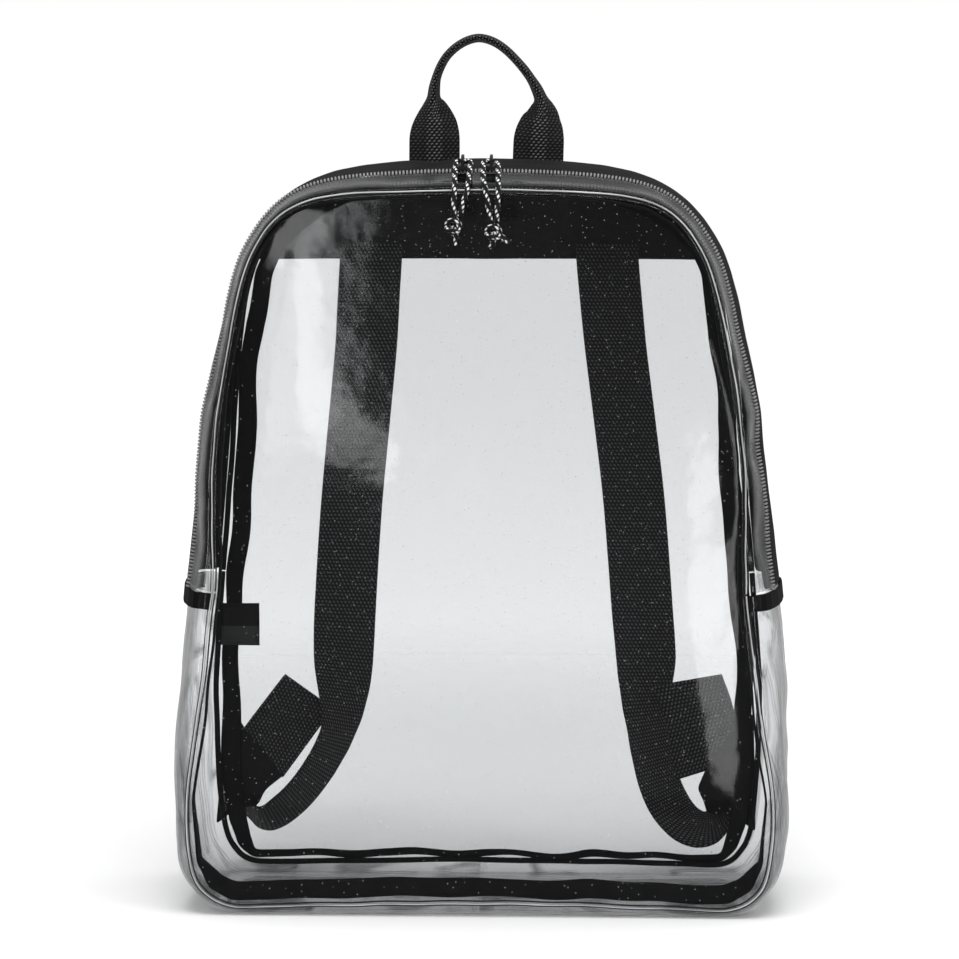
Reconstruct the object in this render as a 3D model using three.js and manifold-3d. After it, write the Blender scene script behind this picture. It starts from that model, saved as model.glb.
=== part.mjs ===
import * as THREE from "three";
import { mergeVertices } from "three/addons/utils/BufferGeometryUtils.js";
import Module from "manifold-3d";

// Main sizes, in millimetres
const TALL = 370; // floor to the crest of the zipped top
const HALF = 145; // half the width of the front panel's seam at its widest
const DEPTH = 112; // front seam to back seam
const ASIDE = 2; // how far the foot stands to the right of the straps' middle
const LEAN = -1; // how far the top stands to the right of the foot
const VINYL = 1; // clear sheet
const FABRIC = 1.1; // black woven cloth
const SEAM_GAP = 0.3; // each panel to the seam plane
const GAP = 0.4; // one piece to the next

// Front and back panels
const FRONT_ROLL = 2.6; // how far the front panel stands before its seam
const FRONT_BULGE = 5;
const BACK_ROLL = 1.8;
const PANEL_MIDDLE = 0.47; // height of the panels' middle, share of TALL
const RIM = 0.6; // how far in the panel's edge begins to turn
const ROLL = 3; // how far in it has turned
const RIM_SHARE = 0.65; // share of the roll that lies at RIM
const PANEL_STEPS = 2; // facets to a row of OUTLINE

// Zipper, as shares of the way from the front seam to the back seam
const STRIP_END = 0.15;
const COIL_START = 0.154;
const COIL_END = 0.187;
const BAND_START = 0.191;
const TAPE_START = 0.1;
const TAPE_END = 0.25;
const TAPE_THICK = 0.8;
const COIL_THICK = 2.2;
const COIL_PROUD = 1;

// Seam tapes
const TAPE_WIDE = 10;
const BINDING_THICK = 1.2;
const BINDING_INSET = 2.6;
const JOIN_HIGH = 0.17; // height of the black band at the side joins, in rows of OUTLINE

// Webbing
const WEB_THICK = 1.5;
const STRAP_WIDE = 32;
const HANDLE_WIDE = 26;
const ANCHOR_WIDE = 36; // the crumpled web over the right corner tab
const YOKE_EDGE = 0.8608; // height of the yoke's straight lower edge, share of TALL
const STRAP_TOP = 0.8838; // height of the straps' upper ends, share of TALL
const BACK_CLEAR = DEPTH / 2 + SEAM_GAP + BACK_ROLL + GAP; // first free plane behind the back panel

// The seams from the foot's middle up one side to the top's middle.
// front, back: half width as a share of HALF; frontUp, backUp: height as a share of TALL;
// bow: how far the gusset bows out past both seams, as a share of DEPTH; stand: how far the
// front seam's tape is turned from the gusset (0) to the front panel (1); rest: the same for
// the back seam's tape and the back panel.
const OUTLINE = [
  { at: "foot middle", front: 0, frontUp: 0.018, back: 0, backUp: 0.014, bow: 0.11, stand: 1, rest: 0.35 },
  { at: "foot", front: 0.41, frontUp: 0.015, back: 0.41, backUp: 0.012, bow: 0.11, stand: 1, rest: 0.35 },
  { at: "foot side", front: 0.72, frontUp: 0.011, back: 0.72, backUp: 0.01, bow: 0.09, stand: 1, rest: 0.35 },
  { at: "corner start", front: 0.85, frontUp: 0.011, back: 0.85, backUp: 0.011, bow: 0.08, stand: 1, rest: 0.4 },
  { at: "corner", front: 0.94, frontUp: 0.03, back: 0.915, backUp: 0.03, bow: 0.09, stand: 0.6, rest: 0.7 },
  { at: "corner end", front: 0.985, frontUp: 0.068, back: 0.955, backUp: 0.068, bow: 0.107, stand: 0.1, rest: 1 },
  { at: "low side", front: 0.995, frontUp: 0.155, back: 0.975, backUp: 0.157, bow: 0.112, stand: 0, rest: 1 },
  { at: "side", front: 0.952, frontUp: 0.273, back: 0.98, backUp: 0.273, bow: 0.128, stand: 0, rest: 1 },
  { at: "join", front: 0.902, frontUp: 0.432, back: 0.955, backUp: 0.425, bow: 0.135, stand: 0, rest: 1 },
  { at: "waist", front: 0.9, frontUp: 0.53, back: 0.934, backUp: 0.525, bow: 0.106, stand: 0, rest: 1 },
  { at: "chest", front: 0.895, frontUp: 0.61, back: 0.917, backUp: 0.605, bow: 0.09, stand: 0, rest: 1 },
  { at: "upper side", front: 0.872, frontUp: 0.69, back: 0.903, backUp: 0.678, bow: 0.086, stand: 0, rest: 1 },
  { at: "high side", front: 0.83, frontUp: 0.785, back: 0.88, backUp: 0.778, bow: 0.054, stand: 0, rest: 1 },
  { at: "shoulder start", front: 0.788, frontUp: 0.853, back: 0.84, backUp: 0.849, bow: 0.05, stand: 0, rest: 1 },
  { at: "shoulder", front: 0.745, frontUp: 0.892, back: 0.793, backUp: 0.889, bow: 0.05, stand: 0, rest: 1 },
  { at: "shoulder bend", front: 0.67, frontUp: 0.93, back: 0.717, backUp: 0.928, bow: 0.055, stand: 0, rest: 1 },
  { at: "shoulder end", front: 0.58, frontUp: 0.951, back: 0.62, backUp: 0.955, bow: 0.062, stand: 0, rest: 1 },
  { at: "top side", front: 0.455, frontUp: 0.96, back: 0.49, backUp: 0.973, bow: 0.071, stand: 0, rest: 1 },
  { at: "top", front: 0.25, frontUp: 0.965, back: 0.27, backUp: 0.985, bow: 0.076, stand: 0, rest: 1 },
  { at: "top middle", front: 0, frontUp: 0.966, back: 0, backUp: 0.989, bow: 0.078, stand: 0, rest: 1 },
];
const JOIN_ROW = 8;
const TOP_ROW = OUTLINE.length - 1;
const ROWS = 2 * TOP_ROW;

// Dents in the gusset. row: place on OUTLINE, from the foot's middle up the right side and
// on down the left; way: share from front seam to back seam; deep: share of DEPTH; tall: in
// rows; wide: share of the way.
const DENTS = [
  { row: 11.6, way: 0.09, deep: 0.03, tall: 0.35, wide: 0.09 },
  { row: 10.1, way: 0.1, deep: 0.035, tall: 0.4, wide: 0.1 },
  { row: 8.6, way: 0.08, deep: 0.02, tall: 0.3, wide: 0.09 },
  { row: 20.1, way: 0.08, deep: 0.02, tall: 0.25, wide: 0.06 },
  { row: 26.4, way: 0.1, deep: 0.02, tall: 0.5, wide: 0.12 },
  { row: 29.2, way: 0.1, deep: 0.025, tall: 0.4, wide: 0.1 },
  { row: 6.4, way: 0.35, deep: 0.03, tall: 0.6, wide: 0.16 },
  { row: 32.2, way: 0.4, deep: 0.035, tall: 0.7, wide: 0.18 },
  { row: 5, way: 0.6, deep: 0.02, tall: 0.5, wide: 0.2 },
];

// The whole seam line: the rows up the right side, then down the left side
const LOOP = [];
for (let i = 0; i < ROWS; i += 1) {
  const row = OUTLINE[i <= TOP_ROW ? i : ROWS - i];
  const side = i <= TOP_ROW ? 1 : -1;
  LOOP.push({ ...row, front: side * row.front, back: side * row.back });
}

// A column of LOOP at any place on it, by a smooth curve through its rows
function along(key, u) {
  const start = Math.floor(u);
  const t = u - start;
  const [a, b, c, d] = [-1, 0, 1, 2].map((k) => LOOP[(start + k + 2 * ROWS) % ROWS][key]);
  const slopeB = (c - a) / 2;
  const slopeC = (d - b) / 2;
  const bend = 2 * t ** 3 - 3 * t ** 2;
  return (
    (bend + 1) * b +
    (t ** 3 - 2 * t ** 2 + t) * slopeB -
    bend * c +
    (t ** 3 - t ** 2) * slopeC
  );
}

// A point on the straight line from the front seam to the back seam
function seam(u, way) {
  const across = HALF * THREE.MathUtils.lerp(along("front", u), along("back", u), way);
  const up = TALL * THREE.MathUtils.lerp(along("frontUp", u), along("backUp", u), way);
  return new THREE.Vector3(across, DEPTH * (way - 0.5), up);
}

// The direction out of the bag at a seam, seen from the front
function outward(u, way) {
  const step = 0.05; // rows of OUTLINE
  const run = seam(u + step, way).sub(seam(u - step, way));
  return new THREE.Vector3(run.z, 0, -run.x).normalize();
}

const BOW_POWER = 2.5;

// The gusset's outer face: bowed out between its seams, flat where it rests on the floor
function gusset(u, way) {
  const edge = Math.min(1, Math.abs(2 * way - 1));
  const bow = (1 - edge ** BOW_POWER) ** (1 / BOW_POWER);
  let out = DEPTH * along("bow", u) * bow;
  for (const dent of DENTS) {
    const far = ((((u % ROWS) + ROWS) % ROWS) - dent.row) / dent.tall;
    out -= DEPTH * dent.deep * bow * Math.exp(-(far ** 2) - ((way - dent.way) / dent.wide) ** 2);
  }
  const point = seam(u, way).addScaledVector(outward(u, way), out);
  point.z = Math.max(0, point.z);
  return point;
}

function lean(point) {
  return point.setX(point.x + ASIDE + (LEAN * point.z) / TALL);
}

// A closed body from a face given as rows of points: the face, and the same face thickness
// below it. The face looks to the side from which rows run right and columns run up. A
// centred one has the given points in the middle of its thickness.
function skin(rows, thickness, { loop = false, cap = false, centred = false } = {}) {
  const tall = rows.length;
  const wide = rows[0].length;
  const point = (i, j) => rows[loop ? (i + tall) % tall : THREE.MathUtils.clamp(i, 0, tall - 1)][j];
  const outer = [];
  const inner = [];
  const rise = centred ? thickness / 2 : 0;
  for (let i = 0; i < tall; i += 1) {
    for (let j = 0; j < wide; j += 1) {
      const run = point(i + 1, j).clone().sub(point(i - 1, j));
      const climb = rows[i][Math.min(j + 1, wide - 1)].clone().sub(rows[i][Math.max(j - 1, 0)]);
      const normal = run.cross(climb).normalize();
      outer.push(rows[i][j].clone().addScaledVector(normal, rise));
      inner.push(rows[i][j].clone().addScaledVector(normal, rise - thickness));
    }
  }
  const points = [...outer, ...inner];
  const under = tall * wide;
  const faces = [];
  const quad = (a, b, c, d) => faces.push(a, b, c, a, c, d);
  const last = loop ? tall : tall - 1;
  for (let i = 0; i < last; i += 1) {
    const next = (i + 1) % tall;
    for (let j = 0; j < wide - 1; j += 1) {
      const [a, b, c, d] = [i * wide + j, next * wide + j, next * wide + j + 1, i * wide + j + 1];
      quad(a, b, c, d);
      quad(under + a, under + d, under + c, under + b);
    }
    quad(i * wide, under + i * wide, under + next * wide, next * wide);
    if (!cap) {
      const [e, f] = [i * wide + wide - 1, next * wide + wide - 1];
      quad(f, under + f, under + e, e);
    }
  }
  if (!loop) {
    for (let j = 0; j < wide - 1; j += 1) {
      quad(j + 1, under + j + 1, under + j, j);
      const e = (tall - 1) * wide + j;
      quad(e, under + e, under + e + 1, e + 1);
    }
  }
  if (cap) {
    for (const [offset, turned] of [[0, false], [under, true]]) {
      const middle = new THREE.Vector3();
      for (let i = 0; i < tall; i += 1) {
        middle.addScaledVector(points[offset + i * wide + wide - 1], 1 / tall);
      }
      points.push(middle);
      const hub = points.length - 1;
      for (let i = 0; i < tall; i += 1) {
        const e = offset + i * wide + wide - 1;
        const f = offset + ((i + 1) % tall) * wide + wide - 1;
        faces.push(...(turned ? [f, e, hub] : [e, f, hub]));
      }
    }
  }
  return solid(points, faces);
}

// A geometry from points and triangles, turned the right way out
function solid(points, faces) {
  let volume = 0;
  for (let i = 0; i < faces.length; i += 3) {
    const [a, b, c] = [0, 1, 2].map((k) => points[faces[i + k]]);
    volume += a.dot(b.clone().cross(c));
  }
  const geometry = new THREE.BufferGeometry();
  const places = points.flatMap((point) => [...point]);
  geometry.setAttribute("position", new THREE.Float32BufferAttribute(places, 3));
  geometry.setIndex(volume > 0 ? faces : faces.toReversed());
  return geometry;
}

// A strip of the gusset between two places round the bag, lying out past its face or under it
function strip(from, to, steps, ways, out, thickness) {
  const rows = [];
  for (let i = 0; i <= steps; i += 1) {
    const u = THREE.MathUtils.lerp(to, from, i / steps);
    rows.push(ways.map((way) => lean(gusset(u, way).addScaledVector(facing(u, way), out))));
  }
  return skin(rows, thickness);
}

function facing(u, way) {
  const step = 0.01;
  const run = gusset(u + 4 * step, way).sub(gusset(u - 4 * step, way));
  const rise = gusset(u, Math.min(1, way + step)).sub(gusset(u, Math.max(0, way - step)));
  return rise.cross(run).normalize();
}

// A panel from its seam to its middle. rings: inset from the seam, share of the way out from
// the middle, and how far the face stands out from the seam plane.
function panel(way, outFrom, rings) {
  const side = way === 0 ? -1 : 1;
  const middle = new THREE.Vector3(0, 0, TALL * PANEL_MIDDLE);
  const rows = [];
  for (let i = 0; i < ROWS * PANEL_STEPS; i += 1) {
    const u = i / PANEL_STEPS;
    const row = rings.map(({ inset, share, out }) => {
      const point = seam(u, way).addScaledVector(outward(u, way), -inset);
      point.y = 0;
      point.lerp(middle, 1 - share).setY(side * (DEPTH / 2 + outFrom + out));
      return lean(point);
    });
    rows.push(row);
  }
  if (side > 0) rows.reverse();
  return skin(rows, VINYL, { loop: true, cap: true });
}

const rims = (roll) => [
  { inset: 0, share: 1, out: 0 },
  { inset: RIM, share: 1, out: RIM_SHARE * roll },
  { inset: ROLL, share: 1, out: roll },
];
const FRONT_RINGS = [
  ...rims(FRONT_ROLL),
  { inset: ROLL, share: 0.78, out: FRONT_ROLL + 0.55 * FRONT_BULGE },
  { inset: ROLL, share: 0.35, out: FRONT_ROLL + FRONT_BULGE },
];
const BACK_RINGS = rims(BACK_ROLL);

// The cloth tape over a seam's raw edges, inside the bag
function binding(way, turned) {
  const inside = way === 0 ? 1 : -1;
  const rows = [];
  for (let u = 0; u < ROWS; u += 1) {
    const base = seam(u, way).addScaledVector(outward(u, way), -BINDING_INSET);
    base.y += inside * GAP;
    const angle = (along(turned, u) * Math.PI) / 2;
    const tip = base.clone().addScaledVector(outward(u, way), -TAPE_WIDE * Math.sin(angle));
    tip.y += inside * TAPE_WIDE * Math.cos(angle);
    rows.push([lean(base), lean(tip)]);
  }
  if (way === 1) rows.reverse();
  return skin(rows, BINDING_THICK, { loop: true, centred: true });
}

// The yoke lies on the back panel and stands off it over the strap ends
const YOKE_RISES = [
  { up: 0, over: 1 },
  { up: 0.26, over: 1 },
  { up: 0.55, over: 0 },
  { up: 1, over: 0 },
];
const YOKE_LIFT = [0.66, 0.74]; // where its lower edge comes down to the panel, shares of HALF
const YOKE_ROW = 13.4; // where on OUTLINE it begins
const YOKE_STEPS = 24;
const YOKE_INSET = 1; // its edge to the seam
function yoke() {
  const rows = [];
  for (let i = 0; i <= YOKE_STEPS; i += 1) {
    const u = THREE.MathUtils.lerp(YOKE_ROW, ROWS - YOKE_ROW, i / YOKE_STEPS);
    const top = seam(u, 1).addScaledVector(outward(u, 1), -YOKE_INSET);
    const lift = 1 - THREE.MathUtils.smoothstep(Math.abs(top.x) / HALF, ...YOKE_LIFT);
    rows.push(YOKE_RISES.map(({ up, over }) => {
      const out = FABRIC + over * lift * (WEB_THICK + GAP);
      const high = THREE.MathUtils.lerp(YOKE_EDGE * TALL, top.z, up);
      return lean(new THREE.Vector3(top.x, BACK_CLEAR + out, high));
    }));
  }
  return skin(rows, FABRIC);
}

// Webbing as a ribbon. Each row places its middle: across as a share of HALF, up as a share of
// TALL, out from the first free plane as a share of STRAP_WIDE. turn: the way its width runs,
// seen from the front, in degrees from the right, downwards; tilt: how far the width leans
// back out of that view.
const RIBBON_STEPS = 2; // facets to a row
function ribbon(table, width) {
  const places = table.map(({ across, up, out }) =>
    new THREE.Vector3(across * HALF, BACK_CLEAR + out * STRAP_WIDE, up * TALL));
  const middles = new THREE.CatmullRomCurve3(places, false, "centripetal");
  const steps = RIBBON_STEPS * (table.length - 1);
  const rows = [];
  for (let i = 0; i <= steps; i += 1) {
    const place = i / RIBBON_STEPS;
    const row = Math.min(table.length - 2, Math.floor(place));
    const t = place - row;
    const [turn, tilt] = ["turn", "tilt"].map((key) =>
      THREE.MathUtils.degToRad(THREE.MathUtils.lerp(table[row][key], table[row + 1][key], t)));
    const half = new THREE.Vector3(
      Math.cos(turn) * Math.cos(tilt),
      Math.sin(tilt),
      -Math.sin(turn) * Math.cos(tilt),
    ).multiplyScalar(width / 2);
    const middle = middles.getPoint(i / steps);
    rows.push([middle.clone().sub(half), middle.clone().add(half)]);
  }
  return skin(rows, WEB_THICK, { centred: true });
}

const STRAP_LEFT = [
  { across: -0.4, up: STRAP_TOP, out: 0.023, turn: 0, tilt: 0 },
  { across: -0.4021, up: 0.8568, out: 0.025, turn: 0, tilt: 0 },
  { across: -0.4103, up: 0.8108, out: 0.109, turn: 0, tilt: 0 },
  { across: -0.4241, up: 0.7324, out: 0.281, turn: 0, tilt: 6 },
  { across: -0.4759, up: 0.5297, out: 0.438, turn: 0, tilt: 0 },
  { across: -0.5034, up: 0.3622, out: 0.406, turn: 2, tilt: 3 },
  { across: -0.5103, up: 0.2865, out: 0.438, turn: 8, tilt: 20 },
  { across: -0.5138, up: 0.2351, out: 0.5, turn: 15, tilt: 42 },
  { across: -0.531, up: 0.1919, out: 0.547, turn: 25, tilt: 56 },
  { across: -0.5759, up: 0.1541, out: 0.547, turn: 39, tilt: 57 },
  { across: -0.6241, up: 0.1243, out: 0.547, turn: 54, tilt: 55 },
  { across: -0.6793, up: 0.0973, out: 0.547, turn: 62, tilt: 54 },
  { across: -0.7414, up: 0.0757, out: 0.547, turn: 68, tilt: 54 },
  { across: -0.7897, up: 0.0649, out: 0.547, turn: 78, tilt: 56 },
  { across: -0.8248, up: 0.0665, out: 0.559, turn: 91, tilt: 58 },
  { across: -0.8414, up: 0.077, out: 0.55, turn: 105, tilt: 58 },
  { across: -0.8586, up: 0.0986, out: 0.447, turn: 122, tilt: 50 },
];
const STRAP_RIGHT = [
  { across: 0.4345, up: STRAP_TOP, out: 0.023, turn: 0, tilt: 0 },
  { across: 0.4379, up: 0.8568, out: 0.025, turn: 0, tilt: 0 },
  { across: 0.4483, up: 0.8108, out: 0.109, turn: 0, tilt: 0 },
  { across: 0.469, up: 0.7297, out: 0.281, turn: 0, tilt: 6 },
  { across: 0.531, up: 0.5324, out: 0.438, turn: 0, tilt: 0 },
  { across: 0.5655, up: 0.3649, out: 0.406, turn: 1, tilt: 4 },
  { across: 0.5793, up: 0.2973, out: 0.453, turn: 1, tilt: 14 },
  { across: 0.5793, up: 0.2514, out: 0.516, turn: 3, tilt: 33 },
  { across: 0.5862, up: 0.2, out: 0.547, turn: -1, tilt: 48 },
  { across: 0.6069, up: 0.1568, out: 0.531, turn: -5, tilt: 48 },
  { across: 0.631, up: 0.1189, out: 0.531, turn: -9, tilt: 49 },
  { across: 0.6655, up: 0.0892, out: 0.531, turn: -16, tilt: 50 },
  { across: 0.7069, up: 0.0676, out: 0.547, turn: -28, tilt: 54 },
  { across: 0.7517, up: 0.0554, out: 0.562, turn: -47, tilt: 58 },
  { across: 0.7966, up: 0.0541, out: 0.578, turn: -75, tilt: 61 },
  { across: 0.831, up: 0.0649, out: 0.572, turn: -106, tilt: 60 },
  { across: 0.8483, up: 0.0973, out: 0.459, turn: -145, tilt: 52 },
];
// The short web from the corner tab up to the strap
const ANCHOR_LEFT = [
  { across: -0.6345, up: 0.2486, out: 0.484, turn: 38, tilt: 14 },
  { across: -0.7103, up: 0.2095, out: 0.391, turn: 42, tilt: 11 },
  { across: -0.7724, up: 0.177, out: 0.203, turn: 44, tilt: 3 },
  { across: -0.8034, up: 0.1608, out: 0.078, turn: 44, tilt: 0 },
];
const ANCHOR_RIGHT = [
  { across: 0.7276, up: 0.2716, out: 0.172, turn: -10, tilt: 0 },
  { across: 0.7655, up: 0.2297, out: 0.141, turn: -14, tilt: 0 },
  { across: 0.7897, up: 0.1865, out: 0.094, turn: -16, tilt: 0 },
  { across: 0.8069, up: 0.1459, out: 0.078, turn: -18, tilt: 0 },
];

// The corner tabs, flat cloth sewn into the lower back seam. Corners seen from the front, as
// shares of HALF and TALL.
const TAB_LEFT = [
  { across: -0.923, up: 0.236 },
  { across: -0.883, up: 0.217 },
  { across: -0.83, up: 0.186 },
  { across: -0.793, up: 0.173 },
  { across: -0.769, up: 0.159 },
  { across: -0.74, up: 0.141 },
  { across: -0.715, up: 0.136 },
  { across: -0.786, up: 0.114 },
  { across: -0.813, up: 0.09 },
  { across: -0.889, up: 0.088 },
  { across: -0.965, up: 0.063 },
];
const TAB_RIGHT = [
  { across: 0.964, up: 0.229 },
  { across: 0.934, up: 0.219 },
  { across: 0.869, up: 0.192 },
  { across: 0.806, up: 0.16 },
  { across: 0.763, up: 0.12 },
  { across: 0.786, up: 0.102 },
  { across: 0.798, up: 0.085 },
  { across: 0.907, up: 0.078 },
  { across: 0.974, up: 0.058 },
];
const TAB_THICK = 1.4;
function tab(corners) {
  const places = corners.map(({ across, up }) => new THREE.Vector2(across * HALF, up * TALL));
  const shape = new THREE.Shape(places);
  const geometry = new THREE.ExtrudeGeometry(shape, { depth: TAB_THICK, bevelEnabled: false });
  geometry.rotateX(Math.PI / 2);
  geometry.translate(0, BACK_CLEAR + TAB_THICK, 0);
  return geometry;
}

// The handle: flat ends, folded lengthwise over the arch. across: share of HALF; up: share of
// TALL; fold: degrees each half is turned back; out: share of HANDLE_WIDE.
const HANDLE = [
  { across: -0.1759, up: 0.9378, fold: 0, out: 0 },
  { across: -0.1759, up: 0.9892, fold: 0, out: 0 },
  { across: -0.1759, up: 1.0297, fold: 8, out: 0 },
  { across: -0.1759, up: 1.0514, fold: 32, out: 0 },
  { across: -0.1779, up: 1.0676, fold: 55, out: 0.019 },
  { across: -0.1821, up: 1.0851, fold: 80, out: 0.038 },
  { across: -0.1724, up: 1.1122, fold: 86, out: 0.058 },
  { across: -0.1379, up: 1.1405, fold: 87, out: 0.058 },
  { across: -0.0828, up: 1.1595, fold: 87, out: 0.058 },
  { across: -0.0207, up: 1.167, fold: 87, out: 0.058 },
  { across: 0.0448, up: 1.1589, fold: 87, out: 0.058 },
  { across: 0.109, up: 1.1373, fold: 87, out: 0.058 },
  { across: 0.1628, up: 1.1108, fold: 86, out: 0.058 },
  { across: 0.1979, up: 1.0832, fold: 80, out: 0.038 },
  { across: 0.2034, up: 1.0649, fold: 55, out: 0.019 },
  { across: 0.1986, up: 1.0486, fold: 32, out: 0 },
  { across: 0.1931, up: 1.027, fold: 8, out: 0 },
  { across: 0.1903, up: 0.9892, fold: 0, out: 0 },
  { across: 0.1897, up: 0.9378, fold: 0, out: 0 },
];
const CREASE = 0.09; // half the width of the handle's flat fold, share of half its width
const HANDLE_ACROSS = [-1, -CREASE, CREASE, 1];
function handle() {
  const points = HANDLE.map(({ across, up, out }) =>
    new THREE.Vector3(across * HALF, out * HANDLE_WIDE, up * TALL));
  const curve = new THREE.CatmullRomCurve3(points, false, "centripetal");
  const from = BACK_CLEAR + FABRIC + GAP + WEB_THICK / 2;
  const steps = 2 * (HANDLE.length - 1);
  const rows = [];
  for (let i = 0; i <= steps; i += 1) {
    const middle = curve.getPoint(i / steps);
    const tangent = curve.getTangent(i / steps).setY(0).normalize();
    const side = new THREE.Vector3(tangent.z, 0, -tangent.x);
    const row = Math.min(HANDLE.length - 2, Math.floor(i / 2));
    const fold = THREE.MathUtils.degToRad(
      THREE.MathUtils.lerp(HANDLE[row].fold, HANDLE[row + 1].fold, i / 2 - row));
    rows.push(HANDLE_ACROSS.map((share) => {
      const flat = Math.sign(share) * Math.min(CREASE, Math.abs(share));
      const turned = share - flat;
      const point = middle.clone();
      point.addScaledVector(side, ((flat + turned * Math.cos(fold)) * HANDLE_WIDE) / 2);
      point.y += from + (Math.abs(turned) * Math.sin(fold) * HANDLE_WIDE) / 2;
      return point;
    }));
  }
  return skin(rows, WEB_THICK, { centred: true });
}

const wasm = await Module();
wasm.setup();

function toManifold(geometry) {
  const bare = geometry.clone();
  bare.deleteAttribute("normal");
  bare.deleteAttribute("uv");
  const merged = mergeVertices(bare, 1e-4);
  return new wasm.Manifold(new wasm.Mesh({
    numProp: 3,
    vertProperties: new Float32Array(merged.attributes.position.array),
    triVerts: new Uint32Array(merged.index.array),
  }));
}

function fromManifold(body) {
  const mesh = body.getMesh();
  const geometry = new THREE.BufferGeometry();
  geometry.setAttribute("position", new THREE.BufferAttribute(new Float32Array(mesh.vertProperties), 3));
  geometry.setIndex(new THREE.BufferAttribute(new Uint32Array(mesh.triVerts), 1));
  return geometry;
}

function joined(geometries) {
  return fromManifold(geometries.map(toManifold).reduce((a, b) => a.add(b)));
}

// A round cord through a few points
function cord(points, diameter, sides, steps) {
  const places = points.map((point) => new THREE.Vector3(...point));
  const path = new THREE.CatmullRomCurve3(places, false, "centripetal");
  const ring = new THREE.Shape();
  for (let i = 0; i < sides; i += 1) {
    const turn = (2 * Math.PI * i) / sides;
    const spot = [(diameter / 2) * Math.cos(turn), (diameter / 2) * Math.sin(turn)];
    if (i === 0) ring.moveTo(...spot);
    else ring.lineTo(...spot);
  }
  ring.closePath();
  return new THREE.ExtrudeGeometry(ring, { steps, extrudePath: path, bevelEnabled: false });
}

// Zip sliders and their cord pulls
const SLIDER_LONG = 9;
const SLIDER_WIDE = 7.4;
const SLIDER_THICK = 1.8;
const BRIDGE_HIGH = 5.1;
const BRIDGE_THICK = 1;
const BRIDGE_WIDE = 1.4;
const BRIDGE_SUNK = 0.3; // how deep its feet stand in the plate
const CORD_THICK = 2.6;
const CORD_SIDES = 8;
const CORD_STEPS = 32;
const KNOT_TURN = 3.1; // radius of the knot's turns

// Each pull is one cord: up from its knot, through the slider's bridge and down again
const CORD_LEFT = [
  [-10, -64.8, 345.1], [-10, -64.2, 352.5], [-9.7, -62, 358], [-9.8, -57.5, 361.9],
  [-10, -51, 365.5], [-10, -45.5, 368.2], [-10, -43, 369.5], [-9.9, -40.8, 370.5],
  [-9, -38.5, 371], [-7.4, -37.6, 371.1], [-5.4, -37.6, 371.1], [-3.8, -38.5, 371],
  [-2.9, -40.8, 370.5], [-2.8, -43, 369.5], [-2.9, -45.5, 368.2], [-3, -51, 365.5],
  [-3.2, -57.5, 361.9], [-3.6, -62, 357.6], [-5.2, -64.2, 352.5], [-7.2, -64.8, 345.1],
];
const CORD_RIGHT = [
  [7.8, -64.8, 342.1], [6.3, -64.2, 351.5], [5.2, -62, 358], [4.2, -57.5, 361.9],
  [3.6, -51, 365.5], [3.5, -45.5, 368.2], [3.5, -43, 369.5], [3.6, -40.8, 370.5],
  [4.5, -38.5, 371], [6.1, -37.6, 371.1], [8.1, -37.6, 371.1], [9.7, -38.5, 371],
  [10.6, -40.8, 370.5], [10.7, -43, 369.5], [10.8, -45.5, 368.2], [11, -51, 365.5],
  [11.3, -57.5, 361.9], [11.4, -62, 357.6], [11.2, -64.2, 351.5], [10.6, -64.8, 342.1],
];
const KNOT_LEFT = { middle: [-10.4, -64.4, 340.6], tails: [[-9.2, -64.2, 331]] };
const KNOT_RIGHT = { middle: [9, -64.6, 337.6], tails: [[7.6, -64.2, 329.6], [16.4, -64.4, 332.6]] };

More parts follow.
